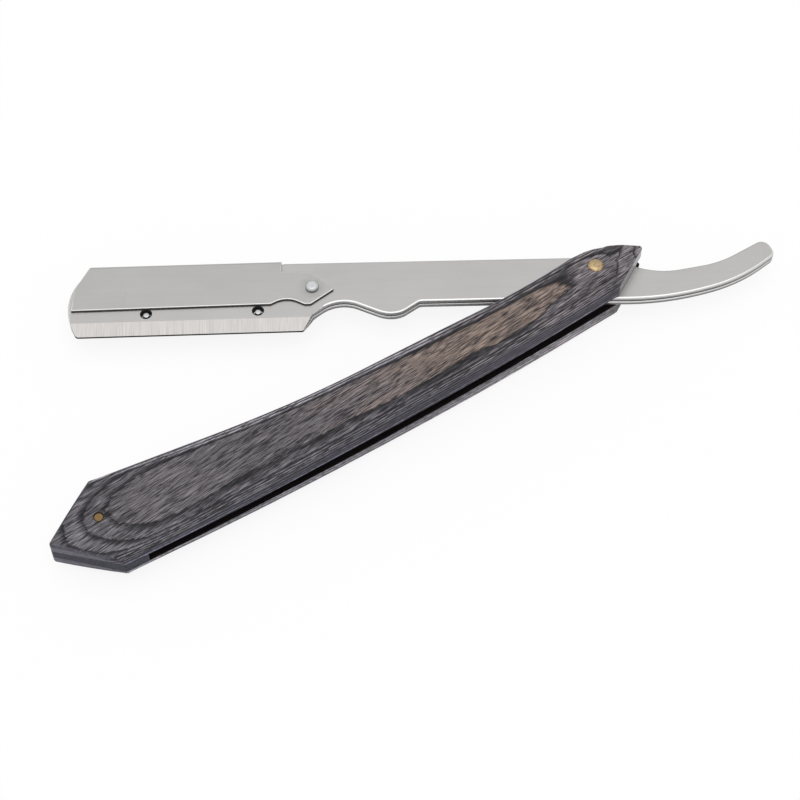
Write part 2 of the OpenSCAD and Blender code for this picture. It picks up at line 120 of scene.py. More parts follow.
def share(name, description, default):
    return number(name, description, default, min=0, max=1, subtype="FACTOR")


def angle(name, description, degrees):
    return number(name, description, math.radians(degrees), subtype="ANGLE", unit="ROTATION")


def colour(name, description, default):
    return bpy.props.FloatVectorProperty(
        name=name, description=description, default=default, size=3, min=0, max=1, subtype="COLOR"
    )


class RazorWood(bpy.types.PropertyGroup):
    """Laminated wood of the handle"""

    ply: length("Ply", "Thickness of one ply of the laminate", 0.43 * MM)
    glue: length("Glue line", "Width of the dark line where a ply ends on the crown", 0.3 * MM)
    edge: length("Edge round", "Round along the outer edges of a scale", 0.45 * MM)
    pitch: length("Pitch", "Distance between the cuts that let the crown curve", 2.0 * MM)
    brown: colour("Heart", "Light fibre in the brown heart of the outer ply", screen(0.66, 0.585, 0.54))
    taupe: colour(
        "Outer ply", "Light fibre of the outer ply towards the wedge", screen(0.535, 0.512, 0.533)
    )
    slate: colour("Slate ply", "Light fibre of the plies below the outer one", screen(0.56, 0.545, 0.57))
    rose: colour("Rose ply", "Light fibre of these plies towards the pivot", screen(0.66, 0.628, 0.643))
    shade: colour("Dark fibre", "Dark fibre of all plies", screen(0.165, 0.16, 0.175))
    coal: colour("Glue", "Dark lines between the plies", screen(0.08, 0.08, 0.10))
    wedge: colour("Wedge", "Dark spacer between the scales", screen(0.24, 0.24, 0.285))
    # Inside: near-black painted shade on the inner faces and low relief walls in the gap between the scales
    inside: colour("Inside", "Stained inner faces of the scales", screen(0.12, 0.10, 0.105))


class RazorSteel(bpy.types.PropertyGroup):
    """Steel of the arm, the clip and the rivet"""

    leaf_edge: length("Leaf edge", "Round along the outer edges of a leaf", 0.42 * MM)
    seam_edge: length("Seam edge", "Round along a leaf's edges at the seam", 0.28 * MM)
    clip_edge: length("Clip edge", "Round along the edges of the clip", 0.16 * MM)
    satin: colour("Satin", "Flat faces of the leaves", (0.42, 0.412, 0.405))
    clip: colour("Clip", "Flat faces of the clip", (0.397, 0.393, 0.386))
    ground: colour("Ground", "Ground bevel of the jaws", (0.378, 0.362, 0.352))
    # Rim is lighter than the satin faces: a painted highlight on the rounded edges
    rim: colour("Rim", "Rounded edges of the sheets", (0.60, 0.595, 0.59))
    # Wall is darker than the satin faces: painted shade on the upright edges
    wall_shade: colour("Wall", "Upright edges of the sheets", (0.30, 0.295, 0.30))
    # Cut is the dull finish of cut edges, and painted shade in the bores, in the seam and on the lower
    # edges of the clip and the jaws
    cut: colour("Cut edge and shade", "Dull cut edges, bores and the faces at the seam", (0.05, 0.048, 0.05))
    bright: colour("Bright", "Turned pins and the rivet", (0.50, 0.505, 0.515))


class RazorBrass(bpy.types.PropertyGroup):
    """Brass of the pins and washers"""

    blow: length("Hammer blow", "Depth that one hammer blow takes off the pivot's dome", 0.07 * MM)
    chamfer: length("Chamfer", "Chamfer at the ends of the small pins", 0.08 * MM)
    clean: colour("Clean", "Rubbed brass", (0.41, 0.316, 0.186))
    tarnish: colour("Tarnish", "Dulled brass", (0.24, 0.15, 0.065))


class RazorStage(bpy.types.PropertyGroup):
    """Floor, light and camera"""

    floor: length("Floor", "Radius of the floor", 4.0)
    floor_colour: colour("Floor colour", "Pale floor", (0.98, 0.98, 0.98))
    glow: share("Floor white", "How far the floor is lifted to white for the eye", 0.88)
    ambient: share("Ambient", "Strength of the light from all round", 0.72)
    key_size: length("Key size", "Side of the square lamp overhead", 1.3)
    key_height: length("Key height", "Height of the square lamp overhead", 1.1)
    key_power: number("Key power", "Power of the lamp overhead", 5.0, min=0, unit="POWER")
    lens: number("Lens", "Focal length on a sensor 36 mm wide", 87.75, min=1, subtype="DISTANCE_CAMERA")
    distance: length("Distance", "From the camera to the point it looks at", 0.39235)
    elevation: angle("Elevation", "Camera above the floor", 56.5)
    azimuth: angle("Azimuth", "Camera round the razor", -1.51)
    aim: bpy.props.FloatVectorProperty(
        name="Aim", description="Point that the camera looks at, from the pivot in its plane",
        default=(-41.41 * MM, -29.2 * MM), size=2, subtype="TRANSLATION", unit="LENGTH"
    )


SETTINGS = {
    "razor_wood": RazorWood,
    "razor_steel": RazorSteel,
    "razor_brass": RazorBrass,
    "razor_stage": RazorStage,
}


# Mesh helpers


def only(piece):
    """Makes a piece the one selected and active object."""
    bpy.ops.object.select_all(action="DESELECT")
    piece.select_set(True)
    bpy.context.view_layer.objects.active = piece


def edit(kind="FACE", select="SELECT"):
    """Opens the active object for editing, with all or none of it selected."""
    bpy.ops.object.mode_set(mode="EDIT")
    bpy.ops.mesh.select_mode(type=kind)
    bpy.ops.mesh.select_all(action=select)


def close():
    bpy.ops.object.mode_set(mode="OBJECT")


def merge_flats(piece):
    """Joins loose points, levels the top and bottom faces and makes flat faces whole again."""
    only(piece)
    edit()
    bpy.ops.mesh.remove_doubles(threshold=ONE_POINT)
    close()
    heights = [v.co.z for v in piece.data.vertices]
    for level in (min(heights), max(heights)):
        for v in piece.data.vertices:
            if abs(v.co.z - level) < ONE_LEVEL:
                v.co.z = level
    edit()
    bpy.ops.mesh.dissolve_limited(angle_limit=ONE_FLAT)
    close()


def copy_of(node, name):
    """A merged copy of a CAD node's mesh, with its flat faces made whole again."""
    mesh = frame["nodes"][node].data.copy()
    mesh.name = name
    mesh.materials.clear()
    piece = bpy.data.objects.new(name, mesh)
    bpy.context.scene.collection.objects.link(piece)
    only(piece)
    bpy.ops.mesh.customdata_custom_splitnormals_clear()
    merge_flats(piece)
    return piece


def round_edges(piece, width, steps, slot, where):
    """Rounds the sharp edges that pass a test of their middle, their run and the faces beside them."""
    only(piece)
    edit("EDGE", "DESELECT")
    bpy.ops.mesh.edges_select_sharp(sharpness=SHARP_EDGE)
    close()
    mesh = piece.data
    beside = {}
    for p in mesh.polygons:
        # A face that stays selected would select all its edges again
        p.select = False
        for key in p.edge_keys:
            beside.setdefault(key, []).append(p.normal.copy())
    for e in mesh.edges:
        if e.select:
            start, end = (mesh.vertices[i].co for i in e.vertices)
            e.select = where((start + end) / 2, (end - start).normalized(), beside[e.key])
    bpy.ops.object.mode_set(mode="EDIT")
    bpy.ops.mesh.bevel(offset=width, segments=steps, affect="EDGES", material=slot, clamp_overlap=False)
    close()


def near(point, nodes, reach):
    """Whether a point lies within reach of the axis of one of these pins."""
    return any((point.xy - PIN_AXES[node]).length < reach for node in nodes)


def part_at(piece, pins):
    """Cuts flat faces across through these holes, so that no other edge runs from a hole to the rim."""
    only(piece)
    edit("EDGE")
    for node in pins:
        bpy.ops.mesh.select_all(action="SELECT")
        bpy.ops.mesh.bisect(plane_co=(*PIN_AXES[node], 0), plane_no=(1, 0, 0))
        bpy.ops.mesh.mark_seam()
    bpy.ops.mesh.select_all(action="SELECT")
    bpy.ops.mesh.dissolve_limited(angle_limit=ONE_FLAT, delimit={"SEAM"})
    close()


def smooth(piece, sharp):
    """Smooth shading that keeps large flat faces flat."""
    only(piece)
    bpy.ops.object.shade_smooth_by_angle(angle=sharp, keep_sharp_edges=False)
    for p in piece.data.polygons:
        if p.area > LARGE_FACE:
            p.use_smooth = False
    weighted = piece.modifiers.new("Weighted", "WEIGHTED_NORMAL")
    weighted.keep_sharp = True
    bpy.ops.object.modifier_apply(modifier=weighted.name)


def ends(node):
    """Radius of a round CAD node, and the heights of its two ends."""
    low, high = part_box(node)
    return (high.x - low.x) / 2, low.z, high.z


def turned(name, centre, rings, sides=48, closed=False):
    """A piece turned about a line along Z, extruded ring by ring as (radius, height) pairs."""
    bpy.ops.object.select_all(action="DESELECT")
    radius, height = rings[0]
    fill = "NOTHING" if closed else "NGON"
    place = (centre.x, centre.y, height)
    bpy.ops.mesh.primitive_circle_add(vertices=sides, radius=radius, fill_type=fill, location=place)
    piece = bpy.context.active_object
    piece.name = piece.data.name = name
    bpy.ops.object.transform_apply(location=True, rotation=True, scale=True)
    edit("EDGE" if closed else "FACE")
    extrude = bpy.ops.mesh.extrude_edges_move if closed else bpy.ops.mesh.extrude_region_move
    for next_radius, next_height in rings[1:]:
        extrude(TRANSFORM_OT_translate={"value": (0, 0, next_height - height)})
        grow = next_radius / radius
        bpy.ops.transform.resize(value=(grow, grow, 1), center_override=(centre.x, centre.y, next_height))
        radius, height = next_radius, next_height
    bpy.ops.mesh.select_all(action="SELECT")
    bpy.ops.mesh.remove_doubles(threshold=ONE_TURNED)
    bpy.ops.mesh.normals_make_consistent(inside=False)
    close()
    return piece


def stands_for(piece, node, sharp=SHARP_EDGE):
    """Puts a finished piece in the place of its CAD node."""
    smooth(piece, sharp)
    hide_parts(node)
    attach(piece, BODY_OF[node])


def finish_with(piece, *materials):
    """Gives a piece its materials, in the order of their slots."""
    piece.data.materials.clear()
    for m in materials:
        piece.data.materials.append(m)


# Shader helpers


class Field:
    """A value that changes over a surface. Sums of fields become math nodes."""

    def __init__(self, tree, socket):
        self.tree = tree
        self.socket = socket

    def math(self, operation, *others):
        return made(self.tree, "Math", 0, dict(enumerate((self, *others))), operation=operation)

    def __add__(self, other):
        return self.math("ADD", other)

    def __sub__(self, other):
        return self.math("SUBTRACT", other)

    def __mul__(self, other):
        return self.math("MULTIPLY", other)

    def __truediv__(self, other):
        return self.math("DIVIDE", other)

    def above(self, low):
        """How far the value lies above a level, and 0 below it."""
        return (self - low).math("MAXIMUM", 0)

    def inverse(self):
        """0 where the value is 1, and 1 where it is 0."""
        return self * -1 + 1

    def size(self):
        return self.math("ABSOLUTE")

    def squared(self):
        return self * self

    def step(self, low, high):
        """0 below low, 1 above high and a smooth rise between them."""
        inputs = {"Value": self, "From Min": low, "From Max": high}
        return made(self.tree, "MapRange", "Result", inputs, interpolation_type="SMOOTHSTEP")


def feed(tree, socket, value):
    """Links a field to a socket, or sets the socket to a plain value."""
    if isinstance(value, Field):
        tree.links.new(value.socket, socket)
    elif socket.type == "RGBA":
        socket.default_value = (*value, 1)
    else:
        socket.default_value = value


def made(tree, kind, output, inputs, **settings):
    """The field that a new node gives, once its settings are made and its inputs fed."""
    node = tree.nodes.new("ShaderNode" + kind)
    for name, value in settings.items():
        setattr(node, name, value)
    for name, value in inputs.items():
        feed(tree, node.inputs[name], value)
    return Field(tree, node.outputs[output])


def placed(tree, origin, turn, stretch=(1, 1, 1)):
    """Object coordinates in millimetres from an origin, turned about Z and stretched along their axes."""
    return moved(made(tree, "TexCoord", "Object", {}), turn, [MM * s for s in stretch], origin)


def moved(vector, turn=0.0, stretch=(1, 1, 1), shift=(0, 0, 0)):
    """A vector turned about Z, then shrunk by the stretch, so that a pattern on it grows by it."""
    inputs = {"Vector": vector, "Location": shift, "Rotation": (0, 0, turn), "Scale": stretch}
    return made(vector.tree, "Mapping", "Vector", inputs, vector_type="TEXTURE")


def parts(vector):
    """The three numbers that make up a vector."""
    node = vector.tree.nodes.new("ShaderNodeSeparateXYZ")
    feed(vector.tree, node.inputs[0], vector)
    return [Field(vector.tree, s) for s in node.outputs]


def noise(vector, stretch, turn=0.0, detail=2.0, roughness=0.5, seed=0.0):
    """Smooth noise from 0 to 1, about as large as the stretch."""
    place = moved(vector, turn, stretch)
    inputs = {"Vector": place, "W": seed, "Scale": 1, "Detail": detail, "Roughness": roughness}
    return made(vector.tree, "TexNoise", "Fac", inputs, noise_dimensions="4D")


# Colour sockets of a Mix node, which share their names with sockets of other kinds
MIX_FIRST, MIX_SECOND, MIX_RESULT = 6, 7, 2


def mixed(factor, first, second):
    """First colour where the factor is 0 and second where it is 1."""
    inputs = {"Factor": factor, MIX_FIRST: first, MIX_SECOND: second}
    return made(factor.tree, "Mix", MIX_RESULT, inputs, data_type="RGBA")


def shaded(factor, tint):
    """A colour made darker or lighter by a factor."""
    grey = made(factor.tree, "CombineColor", "Color", dict.fromkeys(range(3), factor))
    inputs = {"Factor": 1, MIX_FIRST: tint, MIX_SECOND: grey}
    return made(factor.tree, "Mix", MIX_RESULT, inputs, data_type="RGBA", blend_type="MULTIPLY")


def bumped(height, depth):
    """A normal from a height between 0 and 1 that stands for so many millimetres."""
    inputs = {"Height": height, "Strength": 1, "Distance": depth * MM}
    return made(height.tree, "Bump", "Normal", inputs)


def new_group(name, *numbers):
    """The inputs of a new node group as fields: a vector, a seed and other numbers."""
    tree = bpy.data.node_groups.new(name, "ShaderNodeTree")
    tree.interface.new_socket("Vector", in_out="INPUT", socket_type="NodeSocketVector")
    for each in ("Seed", *numbers):
        tree.interface.new_socket(each, in_out="INPUT", socket_type="NodeSocketFloat")
    entry = tree.nodes.new("NodeGroupInput")
    return [Field(tree, s) for s in entry.outputs if s.name]


def give(tree, **fields):
    """Ends a node group with the fields that it gives."""
    for name in fields:
        tree.interface.new_socket(name, in_out="OUTPUT", socket_type="NodeSocketFloat")
    out = tree.nodes.new("NodeGroupOutput")
    for name, field in fields.items():
        feed(tree, out.inputs[name], field)


def use_group(name, vector, *numbers):
    """Places a node group in a vector's material and gives its outputs as fields."""
    node = vector.tree.nodes.new("ShaderNodeGroup")
    node.node_tree = bpy.data.node_groups[name]
    for socket, value in zip(node.inputs, (vector, *numbers)):
        feed(vector.tree, socket, value)
    return [Field(vector.tree, s) for s in node.outputs]


# The fibre runs aslant of the handle by this angle
FIBRE_SLANT = math.radians(7)


def brushing_group():
    """Fine parallel lines along X, as a wheel or belt leaves on metal."""
    vector, seed, bands = new_group("Brushing", "Broad")
    fine = noise(vector, (9, 0.1, 0.3), detail=3, roughness=0.7, seed=seed)
    broad = noise(vector, (16, 0.7, 2), seed=seed + 3.1)
    give(vector.tree, Lines=fine + (broad - fine) * bands, Height=fine)


def handling_group():
    """Marks of use: a few hair scratches at chance angles, and broad dull patches."""
    vector, seed = new_group("Handling")
    hair = 0.004
    scratches = None
    for k, turn in enumerate((0.35, -0.6, 1.3)):
        line = noise(vector, (14, 1.6, 5), turn, detail=0, seed=seed + 7.3 * k)
        thin = (line - 0.5).size().math("LESS_THAN", hair)
        here = noise(vector, (5, 3, 4), turn, seed=seed + 2.9 * k).step(0.56, 0.66)
        scratches = thin * here if scratches is None else scratches.math("MAXIMUM", thin * here)
    give(vector.tree, Scratches=scratches, Patches=noise(vector, (13, 7, 9), seed=seed + 5.5))


def fibre_group():
    """Wood fibre that runs a little aslant of the handle: streaks, dark pores and chance flecks."""
    vector, seed = new_group("Wood Fibre")
    grain = moved(vector, FIBRE_SLANT)
    fine = noise(grain, (3.0, 0.1, 0.4), roughness=0.6, seed=seed)
    middling = noise(grain, (4, 0.3, 0.8), seed=seed + 1.3)
    broad = noise(grain, (11, 1.6, 3), seed=seed + 2.6)
    pores = noise(grain, (3.2, 0.12, 0.3), detail=1, roughness=0.6, seed=seed + 4.2)
    flecks = noise(grain, (3.0, 0.9, 1.5), detail=1, seed=seed + 8.4)
    streaks = (fine - 0.5) * 5.0 + (middling - 0.5) * 1.3 + (broad - 0.5) * 0.8 + 0.42
    give(vector.tree, Streaks=streaks, Pores=pores.step(0.56, 0.66), Flecks=flecks.step(0.66, 0.76))


# Shape of the crown, in millimetres from the pivot along and across the handle: half the gap between
# the scales and how it narrows, the fullest thickness and its place, the radii along and across,
# the ridge's place and slope, and the arc that falls to the near end
GAP_AT_PIVOT = 1.4
LEAN = 0.25 / 114.9
FULL_T = 3.6
FULL_X = -20
LONG_R = 3400
CROSS_R = 42
RIDGE_AT_PIVOT = -3.5
RIDGE_SLOPE = math.tan(math.radians(1.25))
NOSE_X = -2
NOSE_R = 110
NOSE_LAP = 0.05
# Depth of the outer ply's bed, and how wide the bands are in which the plies roll over at the edges
BED_DEPTH = 0.15
LOWER_BAND = 2.9
UPPER_BAND = 2.6


def above_gap(along, up):
    """Height above the inner face of a scale, in millimetres."""
    return up.size() - GAP_AT_PIVOT - along * LEAN


def ply_group():
    """Millimetres above the bed of the outer ply, how fast they fall and how near the upper edge is."""
    vector, seed = new_group("Ply Level")
    along, across, up = parts(vector)
    back = along * -1
    off_ridge = across - RIDGE_AT_PIVOT + along * RIDGE_SLOPE
    # The bed is bowed along the handle, stands higher in the wide half and falls at both ends
    arc_fall = (along - FULL_X).squared() / (2 * LONG_R)
    bed = above_gap(along, up) + arc_fall - FULL_T + BED_DEPTH
    wide = back.above(42) * 0.0044
    far_fall = back.above(100).squared() * 0.0027
    near_fall = along.above(FULL_X) * 0.0198 + along.above(-6.5) * 0.01
    # Towards the pivot it tilts across the handle
    tilt = (along.above(-28) * 0.0034).math("MINIMUM", 0.07) * off_ridge
    # The plies roll over along both long edges, whose outlines these two follow
    from_low = across + back * 0.0844 - back.squared() * 0.000442 + 7.1
    from_up = back.above(57).squared() * 0.0023 + along.above(FULL_X) * 0.09 + 3.05 - across
    close_low = (from_low * -1).above(-LOWER_BAND)
    close_up = (from_up * -1).above(-UPPER_BAND)
    roll = close_low.squared() * 0.23 + close_up.squared() * 0.17
    # Real veneer wanders, and its ends are jagged and frayed along the fibre
    grain = moved(vector, FIBRE_SLANT)
    wander = noise(vector, (16, 4, 30), seed=seed) - 0.5
    jag = noise(grain, (2.6, 0.22, 9), roughness=0.6, seed=seed + 1.7) - 0.5
    fray = noise(grain, (1.6, 0.16, 9), detail=1, seed=seed + 3.3) - 0.5
    rough = back.step(35, 75) * 0.2 + 0.05
    falls = bed + wide - far_fall - near_fall - roll + tilt
    level = falls + wander * 0.2 + jag * rough + fray * 0.05
    run_down = back.above(100) * 0.0054 + along.step(FULL_X - 2, FULL_X) * 0.02 + 0.004
    cross_down = off_ridge / CROSS_R
    crown_down = (cross_down.squared() + run_down.squared()).math("SQRT")
    slope = crown_down + close_low * 0.46 + close_up * 0.34
    give(vector.tree, Level=level, Slope=slope.math("MAXIMUM", 0.03), Upper=close_up)


def new_material(name):
    """An empty material: its tree and its one shader."""
    material = bpy.data.materials.new(name)
    material.use_nodes = True
    return material, material.node_tree, material.node_tree.nodes["Principled BSDF"]


def metal(
    name, tint, roughness, direction, depth,
    spread=0.14, seed=0.0, wear=0.5, coarse=1, broad=0.4, darker_round_pin=""
):
    """Brushed metal, with its lines along a direction in the plane of the arm, and darker in spots round a
    pin.

    Depth is that of the lines in millimetres and spread their contrast. Coarse widens them, and broad
    is the share that runs in bands. Wear is the strength of the scratches.
    """
    material, tree, shader = new_material(name)
    vector = placed(tree, PIVOT, direction, (1, coarse, 1 if coarse == 1 else 30))
    lines, height = use_group("Brushing", vector, seed, broad)
    scratches, patches = use_group("Handling", vector, seed)
    worn = scratches * wear
    tone = lines * spread + patches * 0.1 + (0.95 - spread / 2)
    # Darker in spots within a few millimetres of the pin's axis
    if darker_round_pin:
        right, up, _ = parts(placed(tree, (*PIN_AXES[darker_round_pin], MID_Z), 0.0))
        close = (right.squared() + up.squared()).math("SQRT").step(1.3, 3.4).inverse()
        spots = noise(vector, (2.4, 1.2, 2), seed=seed + 1).step(0.35, 0.65)
        tone = tone - close * (spots * 0.16 + 0.04)
    rough = lines * 0.12 + patches * 0.1 + (roughness - 0.11)
    feed(tree, shader.inputs["Base Color"], shaded(tone - worn * 0.12, tint))
    feed(tree, shader.inputs["Roughness"], rough + worn * 0.2)
    feed(tree, shader.inputs["Normal"], bumped(height, depth))
    shader.inputs["Metallic"].default_value = 1
    return material


def rim_highlight_metal(name, tint, seed):
    """Rounded edges of sheet steel, finer than its faces and brighter, as a painted highlight."""
    return metal(name, tint, 0.26, 0.0, 0.003, spread=0.2, seed=seed, wear=0.2)


def leaf_wall(name, tint, shade, seed):
    """Upright edges of the leaves, with painted shade darkening them towards the seam under the front leaf.
    """
    material, tree, shader = new_material(name)
    vector = placed(tree, PIVOT, 0.0)
    lines, _ = use_group("Brushing", vector, seed, 0.4)
    up = parts(vector)[2]
    # Painted shade: near the seam the wall takes the dark colour and stops mirroring
    lit = up.step(0.36, 0.62).math("MAXIMUM", (up * -1).step(0, 0.1) * 0.75)
    feed(tree, shader.inputs["Base Color"], mixed(lit + (lines - 0.5) * 0.3, shade, tint))
    feed(tree, shader.inputs["Metallic"], lit)
    shader.inputs["Roughness"].default_value = 0.32
    shader.inputs["Specular IOR Level"].default_value = 0.1
    return material


def cut_and_shade_metal(name, tint, seed):
    """Dull cut edges, and painted shade in bores, in the seam and on lower edges, too dull to mirror
    anything.
    """
    material, tree, shader = new_material(name)
    lines, _ = use_group("Brushing", placed(tree, PIVOT, 0.0), seed, 0.4)
    feed(tree, shader.inputs["Base Color"], shaded(lines * 0.6 + 0.7, tint))
    shader.inputs["Roughness"].default_value = 0.7
    shader.inputs["Specular IOR Level"].default_value = 0.1
    return material


def laminate(
    name, look, seed, roughness, gloss, dim=(1, 1, 1), spread=1, grain=1, lip=0, painted_sheen=0
):
    """Laminated wood: plies, dark glue lines and fibre cut open by the shape of the piece.

    Dim tints the light fibre, spread thickens the plies and grain is the strength of the fibre. Lip is a
    painted highlight on the wall just above the inner face, and the painted sheen one along the upper edge.
    """
    material, tree, shader = new_material(name)
    vector = placed(tree, PIVOT, HANDLE_TURN)
    along, _, up = parts(vector)
    streaks, pores, flecks = use_group("Wood Fibre", vector, seed)
    level, slope, close_up = use_group("Ply Level", vector, seed)
    ply = look.ply / MM * spread
    glue = look.glue / MM

    # Which ply lies open, counted from the outer one, and how near its ends are
    count = (level / ply).math("FLOOR")
    below = count.math("LESS_THAN", -0.5)
    depth = level - count * ply
    gap = depth * -1 + ply
    under = gap / slope
    beside = under.math("MINIMUM", depth / slope)

    # A glue line where a ply ends, dark in patches, and a halo under it
    thin = gap.math("MINIMUM", depth).step(ply * 0.1, ply * 0.22).inverse()
    high = gap.step(ply * 0.3, ply * 0.55).inverse()
    patchy = noise(vector, (6, 1.2, 2), seed=seed + 6).step(0.3, 0.6)
    core = (beside / (patchy * 0.9 + 0.6)).step(glue * 0.3, glue).inverse() * thin
    halo = under.step(glue, glue * 4).inverse() * high * (patchy * 0.4 + 0.5)
    dark = core.math("MAXIMUM", halo).math("MAXIMUM", flecks * 0.7)

    # Light fibre: a brown heart in the outer ply, and slate or rose in those below it
    tints = (look.brown, look.taupe, look.rose, look.slate)
    brown, taupe, rose, slate = ([a * b for a, b in zip(tint, dim)] for tint in tints)
    wander = (noise(vector, (20, 4, 4), seed=seed) - 0.5) * 40
    outer = mixed((along + wander).step(-74, -34), taupe, brown)
    lower = mixed(along.step(-50, -12), slate, rose)
    # Painted sheen: a highlight painted along the upper edge, lightening and filling the fibre, fading
    # towards the pivot
    upper = close_up.step(0.4, 1.5) * (along * -1).step(16, 42) * painted_sheen
    light = shaded(upper * 0.9 + 1, mixed(below, outer, lower))

    # How much of it shows: streaks and pores, each lower ply darker or lighter by chance, and more under
    # the painted sheen
    chance = (count * 12.9898).math("SINE").math("FRACT") * 0.4 - 0.12
    streaky = (streaks - 0.5 - pores * 0.4) * grain
    fill = streaky - below * chance + upper * 0.3 + 0.5
    wood = mixed(fill.math("MAXIMUM", 0).math("MINIMUM", 1), look.shade, light)
    # Painted highlight: the wall is made paler within about a millimetre above the inner face
    if lip:
        wood = shaded(above_gap(along, up).step(0.5, 1.0).inverse() * lip + 1, wood)

    relief = streaks * 0.5 - pores * 0.3
    feed(tree, shader.inputs["Base Color"], mixed(dark * 0.9, wood, look.coal))
    feed(tree, shader.inputs["Roughness"], pores * 0.14 + roughness)
    feed(tree, shader.inputs["Normal"], bumped(relief, 0.27 * roughness**3))
    shader.inputs["Specular IOR Level"].default_value = gloss
    return material


def dark_wood(name, tint, seed, gloss):
    """Plain dark wood, with faint plies."""
    material, tree, shader = new_material(name)
    vector = placed(tree, PIVOT, HANDLE_TURN)
    streaks, pores, _ = use_group("Wood Fibre", vector, seed)
    level, *_ = use_group("Ply Level", vector, seed)
    bands = (level * 9).math("SINE") * 0.12 + 0.9
    tone = bands + (streaks - 0.5) * 0.4 - pores * 0.2
    feed(tree, shader.inputs["Base Color"], shaded(tone, tint))
    feed(tree, shader.inputs["Roughness"], pores * 0.2 + 0.45)
    feed(tree, shader.inputs["Normal"], bumped(streaks * 0.5, 0.015))
    shader.inputs["Specular IOR Level"].default_value = gloss
    return material


def brass(name, look, direction, depth, seed, dullness=0.0, brow=0.0):
    """Brass that is rubbed clean in places and dull in others, more so near the brow of a dome."""
    material, tree, shader = new_material(name)
    vector = placed(tree, PIVOT, direction)
    lines, height = use_group("Brushing", vector, seed, 0.4)
    scratches, _ = use_group("Handling", vector, seed)
    spots = noise(vector, (0.7, 0.5, 0.6), detail=4, roughness=0.65, seed=seed)
    right, up, _ = parts(moved(vector, -direction))
    rim = (right.squared() + up.squared()).math("SQRT").step(0.9, 2.0) * brow
    dull = (spots + rim + dullness).step(0.46, 0.72)
    tint = mixed(dull, look.clean, look.tarnish)
    tone = (lines * 0.3 + 0.85) * (1 - dullness / 2)
    rough = dull * 0.2 + lines * 0.1 + 0.24
    feed(tree, shader.inputs["Base Color"], shaded(tone, tint))
    feed(tree, shader.inputs["Roughness"], rough + scratches * 0.1)
    feed(tree, shader.inputs["Normal"], bumped(height * 0.5 + dull * 0.5, depth))
    shader.inputs["Metallic"].default_value = 1
    return material


# Operators


class RAZOR_OT_stage(bpy.types.Operator):
    """Adds the floor, the light all round, the lamp overhead and the camera"""

    bl_idname = "razor.stage"
    bl_label = "Stage"

    def execute(self, context):
        look = context.scene.razor_stage
        self.floor(look)
        self.world(context.scene, look)
        self.lamp(look)
        self.camera(context.scene, look)
        context.scene.view_settings.view_transform = "Standard"
        return {"FINISHED"}

    def seen(self, tree, *ways):
        """1 for what the eye sees in one of these ways, and 0 for light on the razor."""
        seen, *others = (made(tree, "LightPath", f"Is {way} Ray", {}) for way in ways)
        for other in others:
            seen = seen.math("MAXIMUM", other)
        return seen

    def floor(self, look):
        bpy.ops.object.select_all(action="DESELECT")
        bpy.ops.mesh.primitive_circle_add(vertices=96, radius=look.floor, fill_type="NGON")
        floor = bpy.context.active_object
        floor.name = "floor"
        material, tree, shader = new_material("Pale Floor")
        shader.inputs["Base Color"].default_value = (*look.floor_colour, 1)
        shader.inputs["Roughness"].default_value = 0.9
        shader.inputs["Specular IOR Level"].default_value = 0
        white = tree.nodes.new("ShaderNodeEmission")
        blend = tree.nodes.new("ShaderNodeMixShader")
        feed(tree, blend.inputs[0], self.seen(tree, "Camera") * look.glow)
        tree.links.new(shader.outputs[0], blend.inputs[1])
        tree.links.new(white.outputs[0], blend.inputs[2])
        tree.links.new(blend.outputs[0], tree.nodes["Material Output"].inputs["Surface"])
        floor.data.materials.append(material)

    def world(self, scene, look):
        scene.world = scene.world or bpy.data.worlds.new("World")
        scene.world.use_nodes = True
        tree = scene.world.node_tree
        sky = tree.nodes["Background"]
        sky.inputs["Color"].default_value = (1, 1, 1, 1)
        seen = self.seen(tree, "Camera", "Glossy", "Transmission")
        feed(tree, sky.inputs["Strength"], seen * (1 - look.ambient) + look.ambient)

    def lamp(self, look):
        bpy.ops.object.light_add(type="AREA", location=(0, 0, look.key_height))
        lamp = bpy.context.active_object
        lamp.name = "key"
        lamp.data.size = look.key_size
        lamp.data.energy = look.key_power
        lamp.visible_camera = False

    def camera(self, scene, look):
        aim = PIVOT + Vector((*look.aim, 0))
        back = Euler((-look.elevation, 0, look.azimuth)).to_matrix() @ Vector((0, -1, 0))
        bpy.ops.object.camera_add(location=aim + back * look.distance)
        camera = bpy.context.active_object
        camera.rotation_euler = Euler((math.pi / 2 - look.elevation, 0, look.azimuth))
        camera.data.lens = look.lens
        camera.data.clip_start = 0.01
        scene.camera = camera


